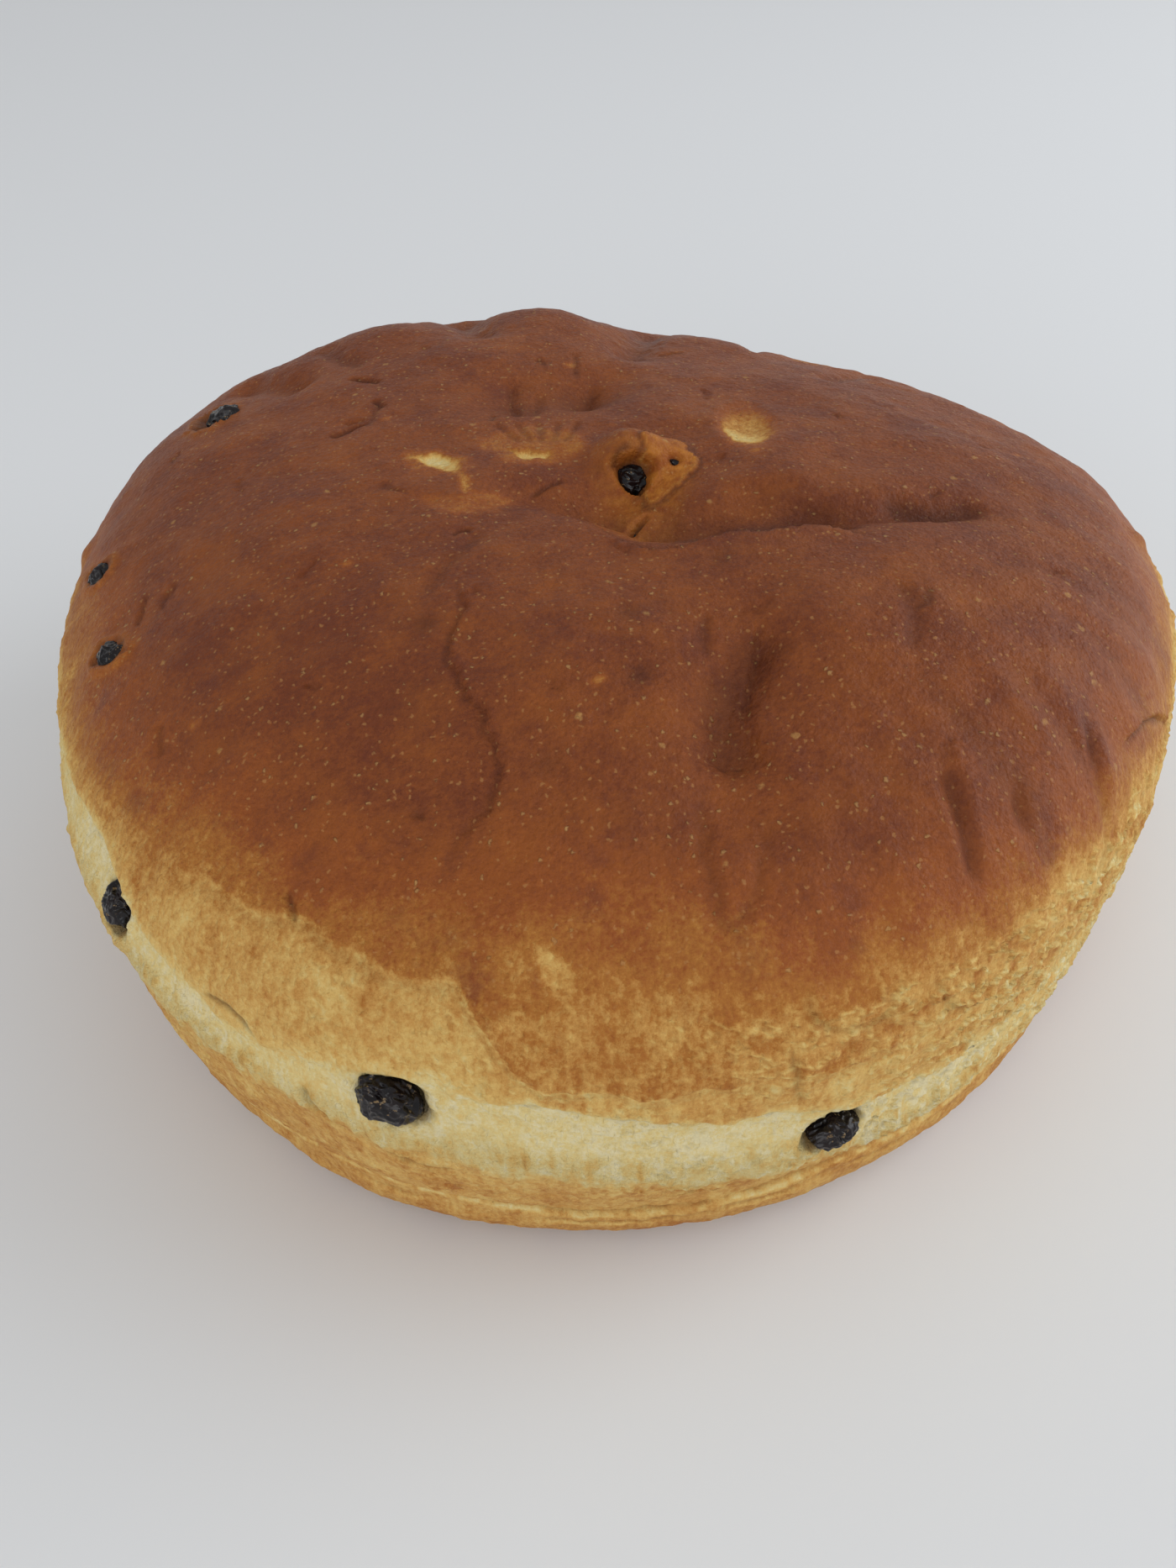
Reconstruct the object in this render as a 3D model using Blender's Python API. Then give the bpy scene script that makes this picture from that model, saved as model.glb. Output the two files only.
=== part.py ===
"""A low panettone, baked free-standing: one loaf, with raisins seated in its crust.

Run it with blender --background --python part.py, or from Blender's text editor. Metres, +Z up.
The origin is under the middle of the loaf's bounding box, on the surface that the loaf stands on.
A heading is an angle in degrees about +Z, counted from +X, so that -90 faces the front (-Y).
"""

import bisect
import math

import bmesh
import bpy
from mathutils import Matrix, Vector, noise
from mathutils.bvhtree import BVHTree

# The loaf's driving dimensions.
GIRTH_RADIUS = 0.110  # mean radius at the widest level
GIRTH_LEVEL = 0.046  # height of the widest level
HEIGHT = 0.090  # the crown's height, before the dough's swells and dents
FOOT_RADIUS = 0.097  # mean radius of the flat base
DOME_FULLNESS = 2.6  # superellipse power from the girth up to the crown: 2 is round
FOOT_FULLNESS = 1.6  # the same from the girth down to the foot: 1 is a straight cone
MIDDLE = Vector((-0.0016, 0.0012, 0))  # the axis that the loaf's radii are measured from

# How the girth departs from a circle: (waves round the loaf, share of radius, heading of a crest).
GIRTH_WAVES = (
    (2, 0.019, -77),
    (3, 0.022, 15),
    (4, 0.002, 22),
    (5, 0.004, 16),
)

# How the levels grow and shrink round the girth, in the same terms. The middle is left as it is.
LEVEL_WAVES = ((2, 0.095, -35),)

# The lip of crust round the foot, and the shallow crease above it.
LIP_LEVEL = 0.007
LIP_SWELL = 0.0018
LIP_HALF_WIDTH = 0.006
CREASE_LEVEL = 0.016
CREASE_DEPTH = 0.0012
CREASE_HALF_WIDTH = 0.0025

# Broad relief of the dome: (x, y, radius, rise). A negative rise is a dent.
SWELLS = (
    (-0.052, -0.045, 0.040, 0.0035),
    (0.048, -0.048, 0.026, 0.0030),
    (-0.004, -0.056, 0.022, 0.0025),
    (-0.020, 0.058, 0.022, 0.0030),
    (0.006, -0.004, 0.013, -0.0040),
    (-0.017, 0.029, 0.007, -0.0025),
    (-0.001, 0.031, 0.008, -0.0030),
)

# Valleys where lobes of dough meet: (depth, half width, waypoints over the dome as x, y).
VALLEYS = (
    (0.0034, 0.0048, ((-0.014, -0.011), (0.001, -0.012), (0.010, -0.019), (0.026, -0.018))),
    (0.0030, 0.0050, ((0.026, -0.018), (0.044, -0.021), (0.062, -0.019))),
    (0.0034, 0.0055, ((0.020, -0.058), (0.017, -0.070), (0.016, -0.083))),
)

# Small lumps all over the crust, which fade out towards the flat base.
LUMP_SPACING = 0.022
LUMP_HEIGHT = 0.0009
LUMP_FADE_LEVEL = 0.012

# Raisins on the dome: name, (x, y), (length, width, thickness), turn in degrees, share sunk.
TOP_RAISINS = (
    ("raisin_crown", (0.0044, 0.0018), (0.0088, 0.0082, 0.0078), 35, 0.72),
    ("raisin_crown_small", (0.0134, 0.0024), (0.0052, 0.0045, 0.0045), 20, 0.72),
    ("raisin_crown_slit", (0.0048, -0.0142), (0.0088, 0.0055, 0.0060), 15, 0.80),
    ("raisin_back_left_rim", (-0.0795, 0.0370), (0.0125, 0.0085, 0.0065), 20, 0.74),
    ("raisin_left_rim", (-0.0955, -0.0045), (0.0090, 0.0070, 0.0060), 60, 0.78),
    ("raisin_left_shoulder", (-0.0872, -0.0300), (0.0095, 0.0070, 0.0065), 40, 0.74),
)

# Raisins round the side: name, (heading, level), and then the same.
SIDE_RAISINS = (
    ("raisin_front_left", (-108, 0.0465), (0.0115, 0.0095, 0.0085), -18, 0.60),
    ("raisin_front_right", (-74, 0.0318), (0.0105, 0.0085, 0.0080), 12, 0.60),
    ("raisin_left_side", (-139, 0.0525), (0.0100, 0.0085, 0.0080), 70, 0.60),
    ("raisin_right_side", (-4, 0.0380), (0.0100, 0.0080, 0.0075), 25, 0.68),
    ("raisin_back_right", (48, 0.0400), (0.0120, 0.0090, 0.0080), -30, 0.62),
    ("raisin_back", (97, 0.0580), (0.0095, 0.0080, 0.0070), 50, 0.66),
    ("raisin_back_left", (149, 0.0440), (0.0110, 0.0090, 0.0080), 5, 0.62),
)

LOAF_QUADS = 24  # grid squares along each edge of the cube that the loaf is rounded from
RAISIN_SUBDIVISIONS = 3
RAISIN_FOLD_DEPTH = 0.10  # share of a raisin's radius
RAISIN_FOLDS = 2.2  # folds from a raisin's middle to its end
SEAT_GAP = 0.0004  # clearance between a raisin and its seat in the crust
FAR = 1.0  # a start for rays, well outside the loaf
BASE_TOLERANCE = 1e-7  # a point below this level lies on the flat base


def clear_scene():
    for obj in list(bpy.data.objects):
        bpy.data.objects.remove(obj)


def new_collection(name):
    collection = bpy.data.collections.new(name)
    bpy.context.scene.collection.children.link(collection)
    return collection


def new_material(name, color, roughness):
    material = bpy.data.materials.new(name)
    material.use_nodes = True
    shader = material.node_tree.nodes["Principled BSDF"]
    shader.inputs["Base Color"].default_value = (*color, 1)
    shader.inputs["Roughness"].default_value = roughness
    shader.inputs["Metallic"].default_value = 0
    return material


def object_from(bm, name, collection):
    mesh = bpy.data.meshes.new(name)
    bm.to_mesh(mesh)
    bm.free()
    mesh.shade_smooth()
    obj = bpy.data.objects.new(name, mesh)
    collection.objects.link(obj)
    return obj


def bell(distance, half_width):
    """1 at no distance, falling smoothly to nearly nothing at twice the half width."""
    return math.exp(-((distance / half_width) ** 2))


def crust_meridian(steps=200):
    """(radius, level) points of the mean side view: the crown, the girth, the foot, the base."""
    points = []
    for step in range(steps + 1):
        climb = math.pi / 2 * (1 - step / steps)
        radius = GIRTH_RADIUS * math.cos(climb) ** (2 / DOME_FULLNESS)
        rise = math.sin(climb) ** (2 / DOME_FULLNESS)
        points.append(Vector((radius, GIRTH_LEVEL + (HEIGHT - GIRTH_LEVEL) * rise)))
    for step in range(1, steps + 1):
        drop = step / steps
        narrowing = 1 - (1 - drop**FOOT_FULLNESS) ** (1 / FOOT_FULLNESS)
        level = GIRTH_LEVEL * (1 - drop)
        radius = GIRTH_RADIUS - (GIRTH_RADIUS - FOOT_RADIUS) * narrowing
        radius += LIP_SWELL * bell(level - LIP_LEVEL, LIP_HALF_WIDTH)
        radius -= CREASE_DEPTH * bell(level - CREASE_LEVEL, CREASE_HALF_WIDTH)
        points.append(Vector((radius, level)))
    points.append(Vector((0, 0)))
    return points


def walker_along(points):
    """A function that gives the point at a share, from 0 to 1, of the way along a line."""
    lengths = [0]
    for start, end in zip(points, points[1:]):
        lengths.append(lengths[-1] + (end - start).length)

    def point_at(share):
        distance = share * lengths[-1]
        last = min(bisect.bisect_right(lengths, distance), len(points) - 1)
        part = (distance - lengths[last - 1]) / (lengths[last] - lengths[last - 1])
        return points[last - 1].lerp(points[last], part)

    return point_at


def wave_sum(heading, table):
    """The waves of a table, added up in a heading."""
    return sum(
        share * math.cos(waves * (heading - math.radians(crest)))
        for waves, share, crest in table
    )


def round_ball_grid(quads):
    """A ball of even quads, rounded from a cube's subdivided faces."""
    bm = bmesh.new()
    bmesh.ops.create_cube(bm, size=2)
    bmesh.ops.subdivide_edges(bm, edges=bm.edges, cuts=quads - 1, use_grid_fill=True)
    for vertex in bm.verts:
        vertex.co = Vector(math.tan(part * math.pi / 4) for part in vertex.co).normalized()
    return bm


def shape_as_loaf(bm):
    """Moves the ball's points onto the loaf's smooth outline."""
    point_at = walker_along(crust_meridian())
    for vertex in bm.verts:
        direction = vertex.co
        heading = math.atan2(direction.y, direction.x)
        climb = math.asin(max(-1, min(1, direction.z)))
        radius, level = point_at(0.5 - climb / math.pi)
        radius *= 1 + wave_sum(heading, GIRTH_WAVES)
        level *= 1 + wave_sum(heading, LEVEL_WAVES) * (radius / GIRTH_RADIUS) ** 2
        outward = Vector((math.cos(heading), math.sin(heading), 0))
        vertex.co = MIDDLE + outward * radius + Vector((0, 0, level))


def distance_to_route(point, route):
    """The shortest way from a point to a route of straight stretches, seen from above."""
    nearest = FAR
    for start, end in zip(route, route[1:]):
        start, along = Vector(start), Vector(end) - Vector(start)
        share = max(0, min(1, (point - start).dot(along) / along.length_squared))
        nearest = min(nearest, (point - start - along * share).length)
    return nearest


def relief_at(point):
    """How far the crust stands out from the smooth outline at a point."""
    plan = point.xy
    dome = max(0, min(1, point.z / GIRTH_LEVEL - 1)) ** 0.5
    height = LUMP_HEIGHT * noise.noise(point / LUMP_SPACING)
    height *= min(1, point.z / LUMP_FADE_LEVEL)
    for x, y, radius, rise in SWELLS:
        height += dome * rise * bell((plan - Vector((x, y))).length, radius)
    for depth, half_width, route in VALLEYS:
        height -= dome * depth * bell(distance_to_route(plan, route), half_width)
    return height


def make_loaf(collection, material):
    bm = round_ball_grid(LOAF_QUADS)
    shape_as_loaf(bm)
    bm.normal_update()
    moves = [vertex.normal * relief_at(vertex.co) for vertex in bm.verts]
    for vertex, move in zip(bm.verts, moves):
        if vertex.co.z > 0:
            vertex.co += move
    base = [vertex for vertex in bm.verts if vertex.co.z < BASE_TOLERANCE]
    on_base = set(base)
    across = [edge for edge in bm.edges if on_base.issuperset(edge.verts)]
    bmesh.ops.dissolve_limit(bm, angle_limit=math.radians(1), verts=base, edges=across)
    loaf = object_from(bm, "loaf", collection)
    loaf.data.materials.append(material)
    return loaf


def seats_of(loaf):
    """Yields each raisin's name, seat, outward direction, size, turn and share sunk."""
    tree = BVHTree.FromObject(loaf, bpy.context.evaluated_depsgraph_get())
    for name, (x, y), *rest in TOP_RAISINS:
        point, normal, *_ = tree.ray_cast(Vector((x, y, FAR)), Vector((0, 0, -1)))
        yield name, point, normal, *rest
    for name, (heading, level), *rest in SIDE_RAISINS:
        turn = math.radians(heading)
        outward = Vector((math.cos(turn), math.sin(turn), 0))
        start = outward * FAR + Vector((0, 0, level))
        point, normal, *_ = tree.ray_cast(start, -outward)
        yield name, point, normal, *rest


def raisin_shape(size, seed, grow=0):
    """A wrinkled berry: its length lies along X and its thickness along Z."""
    bm = bmesh.new()
    bmesh.ops.create_icosphere(bm, subdivisions=RAISIN_SUBDIVISIONS, radius=1)
    half = Vector(size) / 2
    for vertex in bm.verts:
        direction = vertex.co.copy()
        fold = noise.noise(direction * RAISIN_FOLDS + Vector((seed, 0, 0)))
        stretched = Vector(part * reach for part, reach in zip(direction, half))
        vertex.co = stretched * (1 + RAISIN_FOLD_DEPTH * fold) + direction * grow
    return bm


def placed(bm, name, collection, seat, outward, size, turn, sunk):
    """The shape as an object, lying on the crust at its seat and sunk into it."""
    obj = object_from(bm, name, collection)
    sideways = Vector((0, 0, 1)).cross(outward)
    sideways = sideways.normalized() if sideways.length > 0.01 else Vector((1, 0, 0))
    upward = outward.cross(sideways)
    facing = Matrix((sideways, upward, outward)).transposed()
    spin = Matrix.Rotation(math.radians(turn), 3, "Z")
    obj.rotation_euler = (facing @ spin).to_euler()
    obj.location = seat - outward * size[2] * (sunk - 0.5)
    return obj


def make_raisins(loaf, parts, cutters, material):
    """Each raisin, with a cutter a little larger than it that opens its seat in the loaf."""
    for seed, (name, seat, outward, size, turn, sunk) in enumerate(list(seats_of(loaf))):
        bm = raisin_shape(size, seed)
        raisin = placed(bm, name, parts, seat, outward, size, turn, sunk)
        raisin.data.materials.append(material)
        bm = raisin_shape(size, seed, grow=SEAT_GAP)
        cutter = placed(bm, name + "_seat", cutters, seat, outward, size, turn, sunk)
        cutter.hide_render = True
        cutter.display_type = "WIRE"
        cut = loaf.modifiers.new(cutter.name, "BOOLEAN")
        cut.operation = "DIFFERENCE"
        cut.solver = "EXACT"
        cut.object = cutter


def main():
    clear_scene()
    parts = new_collection("panettone")
    cutters = new_collection("seat cutters")
    crust = new_material("golden brown crust", (0.30, 0.10, 0.035), 0.55)
    dried_fruit = new_material("dark raisin skin", (0.012, 0.009, 0.010), 0.35)
    loaf = make_loaf(parts, crust)
    make_raisins(loaf, parts, cutters, dried_fruit)


main()
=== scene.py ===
"""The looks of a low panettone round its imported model: crust, burst band, raisins, light, camera.

Everything is in metres, +Z up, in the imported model's frame. Tables of places on the crust are in
millimetres. A place on the dome is (x, y) seen from above. A place on the side is (heading, level):
the heading is in degrees about +Z, -90 faces the front, and the level is the height above the base.
"""

import math

import bmesh
import bpy
import numpy as np
from mathutils import Matrix, Vector, noise
from mathutils.bvhtree import BVHTree


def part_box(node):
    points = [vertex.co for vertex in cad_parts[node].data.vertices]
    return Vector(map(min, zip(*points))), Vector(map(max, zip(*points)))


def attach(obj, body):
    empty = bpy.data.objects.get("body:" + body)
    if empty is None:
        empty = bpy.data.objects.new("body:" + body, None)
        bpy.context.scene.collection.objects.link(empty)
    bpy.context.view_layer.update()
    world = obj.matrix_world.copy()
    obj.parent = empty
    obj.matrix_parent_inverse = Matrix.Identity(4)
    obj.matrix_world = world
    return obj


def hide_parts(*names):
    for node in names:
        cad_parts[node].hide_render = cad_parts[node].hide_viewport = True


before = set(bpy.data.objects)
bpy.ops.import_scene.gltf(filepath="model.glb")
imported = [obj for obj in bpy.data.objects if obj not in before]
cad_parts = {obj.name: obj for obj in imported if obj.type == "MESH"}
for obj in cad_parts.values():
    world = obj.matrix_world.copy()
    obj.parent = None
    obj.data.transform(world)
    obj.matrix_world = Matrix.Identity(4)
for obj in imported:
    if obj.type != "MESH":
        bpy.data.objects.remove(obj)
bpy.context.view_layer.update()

MM = 0.001

# The crust's mesh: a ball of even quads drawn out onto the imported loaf.
GRID_QUADS = 230  # along each edge of the cube that the ball is rounded from
HUB = np.array((0.0, 0.0, 0.042))  # rays run outwards from here
FLATTENING = 0.62  # how far the ball's directions are squashed, so that the quads come out even
SEAT_MARGIN = 1.6 * MM  # how far past a raisin's box the loaf is bridged over
BRIDGING_ROUNDS = 400
SMOOTHING_ROUNDS = 40
SIDE_SCALE = 105.0  # millimetres round the side to a radian of heading


# ---------------------------------------------------------------- the crust as arrays of points


def ball_grid(quads):
    """Even directions over a ball, rounded from a cube's faces, and the quads that join them."""
    steps = np.tan(np.linspace(-1, 1, quads + 1) * math.pi / 4)
    u, v = np.meshgrid(steps, steps, indexing="ij")
    index = np.arange((quads + 1) ** 2).reshape(quads + 1, quads + 1)
    corners = [index[:-1, :-1], index[1:, :-1], index[1:, 1:], index[:-1, 1:]]
    face_quads = np.stack(corners, axis=-1).reshape(-1, 4)
    points, joined = [], []
    for axis in range(3):
        for side in (1, -1):
            face = np.empty((*u.shape, 3))
            face[..., axis] = side
            face[..., (axis + 1) % 3] = u
            face[..., (axis + 2) % 3] = v
            joined.append((face_quads if side > 0 else face_quads[:, ::-1]) + len(points) * index.size)
            points.append(face.reshape(-1, 3))
    points = np.concatenate(points)
    points /= np.linalg.norm(points, axis=1)[:, None]
    _, first, merged = np.unique(
        np.round(points * 1e6).astype(int), axis=0, return_index=True, return_inverse=True
    )
    return points[first], merged.ravel()[np.concatenate(joined)]


def edges_of(quads):
    """Each edge once, as pairs of point numbers."""
    pairs = np.concatenate([quads[:, [k, (k + 1) % 4]] for k in range(4)])
    return np.unique(np.sort(pairs, axis=1), axis=0)


def mean_of_neighbours(values, edges):
    """Each point's mean over the points that it shares an edge with."""
    count = len(values)
    total = np.bincount(edges[:, 0], values[edges[:, 1]], count)
    total += np.bincount(edges[:, 1], values[edges[:, 0]], count)
    return total / np.bincount(edges.ravel(), minlength=count)


def spread_out(values, edges, rounds):
    """The values, blurred over the mesh."""
    for _ in range(rounds):
        values = (values + mean_of_neighbours(values, edges)) / 2
    return values


def normals_of(points, quads):
    """The outward direction at each point."""
    a, b, c, d = (points[quads[:, k]] for k in range(4))
    facing = np.cross(c - a, d - b)
    total = np.zeros_like(points)
    for axis in range(3):
        for corner in range(4):
            total[:, axis] += np.bincount(quads[:, corner], facing[:, axis], len(points))
    return total / np.linalg.norm(total, axis=1)[:, None]


def smoothstep(low, high, values):
    """0 at low and before it, 1 at high and past it, with a smooth rise between them."""
    share = np.clip((values - low) / (high - low), 0, 1)
    return share * share * (3 - 2 * share)


def bell(distance, half_width):
    """1 at no distance, falling smoothly to nearly nothing at twice the half width."""
    return np.exp(-((distance / half_width) ** 2))


def noise_field(points, spacing, seed=0.0):
    """Smooth noise from -1 to 1, with bumps about a spacing apart."""
    offset = np.array((seed * 3.17, seed * -1.71, seed * 2.39))
    scaled = (points / spacing + offset).tolist()
    return np.array([noise.noise(point) for point in scaled])


def loaf_points():
    """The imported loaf's outside as an even mesh: raisin seats bridged over, facets smoothed."""
    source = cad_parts["loaf"].data
    tree = BVHTree.FromPolygons(
        [vertex.co for vertex in source.vertices],
        [polygon.vertices for polygon in source.polygons],
    )
    directions, quads = ball_grid(GRID_QUADS)
    directions = directions * (1, 1, FLATTENING)
    directions /= np.linalg.norm(directions, axis=1)[:, None]
    hub = Vector(HUB)
    reach = np.array([tree.ray_cast(hub, Vector(way))[3] for way in directions])
    edges = edges_of(quads)

    seats = np.zeros(len(reach), bool)
    hits = HUB + directions * reach[:, None]
    for name in raisin_names():
        low, high = (np.array(corner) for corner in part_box(name))
        seats |= np.all((hits > low - SEAT_MARGIN) & (hits < high + SEAT_MARGIN), axis=1)
    near = seats[edges].any(axis=1)
    reach[seats] = np.median(reach[~seats])
    for _ in range(BRIDGING_ROUNDS):
        total = np.bincount(edges[near, 0], reach[edges[near, 1]], len(reach))
        total += np.bincount(edges[near, 1], reach[edges[near, 0]], len(reach))
        degree = np.bincount(edges[near].ravel(), minlength=len(reach))
        reach[seats] = (total / np.maximum(degree, 1))[seats]
    reach = spread_out(reach, edges, SMOOTHING_ROUNDS)
    points = HUB + directions * reach[:, None]
    points[:, 2] = np.maximum(points[:, 2], 0)
    return points, quads, edges


def raisin_names():
    """Every raisin's node."""
    return sorted(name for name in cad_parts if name.startswith("raisin"))


points, quads, edges = loaf_points()
skin = points / MM  # the same points in millimetres
normals = normals_of(points, quads)
heading = np.degrees(np.arctan2(skin[:, 1], skin[:, 0]))
level = skin[:, 2]
tree = BVHTree.FromPolygons(points.tolist(), quads.tolist())

# What each point of the crust is like. Every feature below adds its share.
height = np.zeros(len(skin))  # how far it stands out from the smooth loaf, in millimetres
bake = np.zeros(len(skin))  # 0 for pale crumb, 0.5 for golden skin, 1 for dark crust
shade = np.zeros(len(skin))  # painted shade, 1 in the bottom of a crease, where it also stands for the darker bake
torn = np.zeros(len(skin))  # 1 on torn skin, which is orange
strands = np.zeros(len(skin))  # 1 where the crumb is drawn out in ragged strands


# ---------------------------------------------------------------- finding places on the crust


def on_dome(*places):
    """The crust's points under places given as (x, y), or the nearest ones if a place is off it."""
    hits = []
    for x, y in places:
        hit = tree.ray_cast(Vector((x * MM, y * MM, 1)), Vector((0, 0, -1)))[0]
        hits.append(hit or tree.find_nearest(Vector((x * MM, y * MM, HUB[2])))[0])
    return np.array(hits) / MM


def on_side(*places):
    """The crust's points at places given as (heading, level)."""
    hits = []
    for turn, height in places:
        outward = Vector((math.cos(math.radians(turn)), math.sin(math.radians(turn)), 0))
        start = outward + Vector((0, 0, height * MM))
        hits.append(tree.ray_cast(start, -outward)[0])
    return np.array(hits) / MM


def rounded(route, rounds=2):
    """The route with its corners cut, so that it bends smoothly."""
    for _ in range(rounds):
        starts, ends = route[:-1], route[1:]
        cuts = np.stack((0.75 * starts + 0.25 * ends, 0.25 * starts + 0.75 * ends), axis=1)
        route = np.concatenate((route[:1], cuts.reshape(-1, 3), route[-1:]))
    return route


def near(route, reach):
    """The points within reach of a route: their numbers, their sides and their shares of the way.

    A side is the distance to the route, above 0 on the left of travel as seen from outside.
    """
    route = rounded(route)
    inside = (skin > route.min(0) - reach) & (skin < route.max(0) + reach)
    picked = np.flatnonzero(inside.all(axis=1))
    here, facing = skin[picked], normals[picked]
    lengths = np.concatenate(([0], np.cumsum(np.linalg.norm(np.diff(route, axis=0), axis=1))))
    nearest = np.full(len(picked), np.inf)
    side, share = np.zeros(len(picked)), np.zeros(len(picked))
    for step, (start, end) in enumerate(zip(route, route[1:])):
        way = end - start
        along = np.clip((here - start) @ way / (way @ way), 0, 1)
        offset = here - start - along[:, None] * way
        distance = np.linalg.norm(offset, axis=1)
        left = (np.cross(way, offset) * facing).sum(axis=1)
        closer = distance < nearest
        nearest = np.where(closer, distance, nearest)
        side = np.where(closer, np.copysign(distance, left), side)
        passed = lengths[step] + along * (lengths[step + 1] - lengths[step])
        share = np.where(closer, passed / lengths[-1], share)
    close = nearest < reach
    return picked[close], side[close], share[close]


def fading(share, ends=0.2):
    """1 along a route's middle, falling to 0 at both ends."""
    return smoothstep(0, ends, share) * smoothstep(0, ends, 1 - share)


def within(outline, edge):
    """The points inside an outline on the dome: their numbers, and how far inside they lie."""
    outline = rounded(np.vstack((outline, outline[:1])))
    low, high = outline.min(0) - 3 * edge, outline.max(0) + 3 * edge
    picked = np.flatnonzero(((skin > low) & (skin < high)).all(axis=1))
    x, y = skin[picked, 0], skin[picked, 1]
    crossings = np.zeros(len(picked), bool)
    distance = np.full(len(picked), np.inf)
    for start, end in zip(outline, outline[1:]):
        way = (end - start)[:2]
        along = np.clip(((x - start[0]) * way[0] + (y - start[1]) * way[1]) / (way @ way), 0, 1)
        gap = np.hypot(x - start[0] - along * way[0], y - start[1] - along * way[1])
        distance = np.minimum(distance, gap)
        spans = (start[1] > y) != (end[1] > y)
        if way[1]:
            crossings ^= spans & (x < start[0] + (y - start[1]) * way[0] / way[1])
    return picked, np.where(crossings, distance, -distance)


# ---------------------------------------------------------------- features, drawn on the crust


wobble = 0.7 * noise_field(skin, 3.0, 1) + 0.35 * noise_field(skin, 1.2, 2)  # ragged edges, in mm


def darken(picked, amount):
    """Paints shade on some points, unless they already have darker shade."""
    shade[picked] = np.maximum(shade[picked], amount)


def tint(picked, value, share):
    """Draws the bake of some points towards a value."""
    bake[picked] += (value - bake[picked]) * share


def groove(route, depth, half_width, dark=0.6, rim=0.0, ragged=0.5):
    """A crease or crack, with a raised rim along both sides and painted shade down in it."""
    picked, side, share = near(route, 4 * half_width + 1)
    side = side + ragged * wobble[picked]
    ends = fading(share)
    dip = bell(side, half_width) * ends
    height[picked] -= depth * dip
    height[picked] += rim * bell(np.abs(side) - 2 * half_width, half_width) * ends
    darken(picked, dark * dip)


def fold(route, lift, width, drop=0.4, dark=0.5, light=0.0, ragged=0.5):
    """A lip of skin that stands up on the left of a route, over a drop on its right."""
    picked, side, share = near(route, 3 * width + 1.5)
    side = side + ragged * wobble[picked]
    ends = fading(share, 0.25)
    over = lift * np.exp(-np.maximum(side, 0) / width) * smoothstep(-0.3, 0.3, side)
    under = drop * bell(np.minimum(side, 0), 1.0) * smoothstep(0.3, -0.3, side)
    height[picked] += (over - under) * ends
    # painted shade in the drop below the lip
    darken(picked, dark * bell(side + 0.7, 0.6) * ends)
    tint(picked, 0.45, light * bell(side - 0.2, 0.35) * ends)


def swell(centre, radius, rise, dark=0.0, warm=0.0):
    """A soft bump or dent, with dark as painted shade over it."""
    distance = np.linalg.norm(skin - centre, axis=1)
    picked = np.flatnonzero(distance < 3 * radius)
    share = bell(distance[picked], radius)
    height[picked] += rise * share
    darken(picked, dark * share)
    tint(picked, 0.6, warm * share)


def ring_levels(*knots):
    """Levels all round the loaf, for every point, from some (heading, level) knots in order."""
    turns, levels = zip(*knots)
    return np.interp(heading, turns, levels, period=360)


# ---- The zones of the side, from the dome down: dark crust, golden skirt, pale burst band, foot.

BROWNING = (  # where dark crust has faded to golden skin
    (-180, 67), (-160, 65), (-145, 64), (-133, 65.5), (-122, 68), (-106, 68), (-98, 67.5), (-91, 66),
    (-84, 64), (-79, 62.5), (-73, 62), (-58, 62.5), (-41, 63), (-10, 65), (20, 62), (50, 66),
    (85, 61), (120, 65), (150, 61),
)
SKIN_EDGE = (
    (-180, 62), (-150, 62), (-134, 66), (-119, 67), (-109, 65), (-103, 65), (-100, 59), (-97, 54),
    (-90, 52), (-84, 51.5), (-79, 50), (-74, 49), (-67, 50), (-61, 55), (-49, 61), (-35, 60),
    (-10, 56), (20, 52), (50, 60), (85, 55), (120, 52), (150, 60),
)
BAND_TOP = (
    (-180, 55), (-163, 59), (-150, 60), (-143, 60), (-137, 57), (-130, 52), (-122, 48.5), (-113, 51),
    (-107, 52), (-102, 51), (-98, 50), (-90, 47), (-84, 43), (-80, 42.5), (-72, 37.5), (-64, 34),
    (-59, 35), (-52, 37), (-40, 43), (-15, 46), (10, 41), (35, 47), (70, 44), (100, 49), (130, 45),
    (155, 50),
)
BAND_FOOT = (
    (-180, 42), (-160, 45), (-145, 46), (-131, 42), (-118, 39), (-113, 37), (-110, 34), (-104, 33),
    (-100, 32), (-90, 28), (-86, 26), (-81, 24), (-77, 25), (-70, 22), (-63, 19), (-52, 19),
    (-40, 27), (-15, 30), (10, 26), (35, 31), (70, 28), (100, 33), (130, 29), (155, 34),
)
BAND_STRENGTH = (
    (-180, 0.6), (-160, 0.8), (-146, 1), (-66, 1), (-55, 0.8), (-40, 0.65), (-20, 0.5), (5, 0.9),
    (30, 0.6), (60, 0.9), (95, 0.6), (125, 0.9), (155, 0.7),
)
LIP_CREASE = (
    (-180, 15), (-150, 16), (-119, 18), (-106, 17), (-100, 15.5), (-91, 13.5), (-84, 14.5), (-72, 17),
    (-50, 16), (-20, 17), (20, 14), (60, 17), (100, 14), (140, 17),
)
EDGE_CRISPNESS = (  # 1 where a step with a thin light rim ends the skin, 0 where it fades out
    (-180, 0.4), (-150, 0.1), (-130, 0.2), (-121, 0.9), (-95, 1), (-82, 0.8), (-72, 0.5),
    (-60, 0), (-20, 0), (20, 0.3), (40, 0.2), (90, 0.5), (140, 0.3),
)
BAND_SOFTNESS = (  # over how many millimetres the burst band's pale crumb sets in at its top
    (-180, 3), (-150, 1.2), (-138, 1.5), (-125, 4), (-104, 3.5), (-96, 1.0), (-76, 1.4), (-62, 3.0),
    (-45, 4.5), (0, 1.5), (40, 3.5), (90, 1.2), (140, 3),
)

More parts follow.
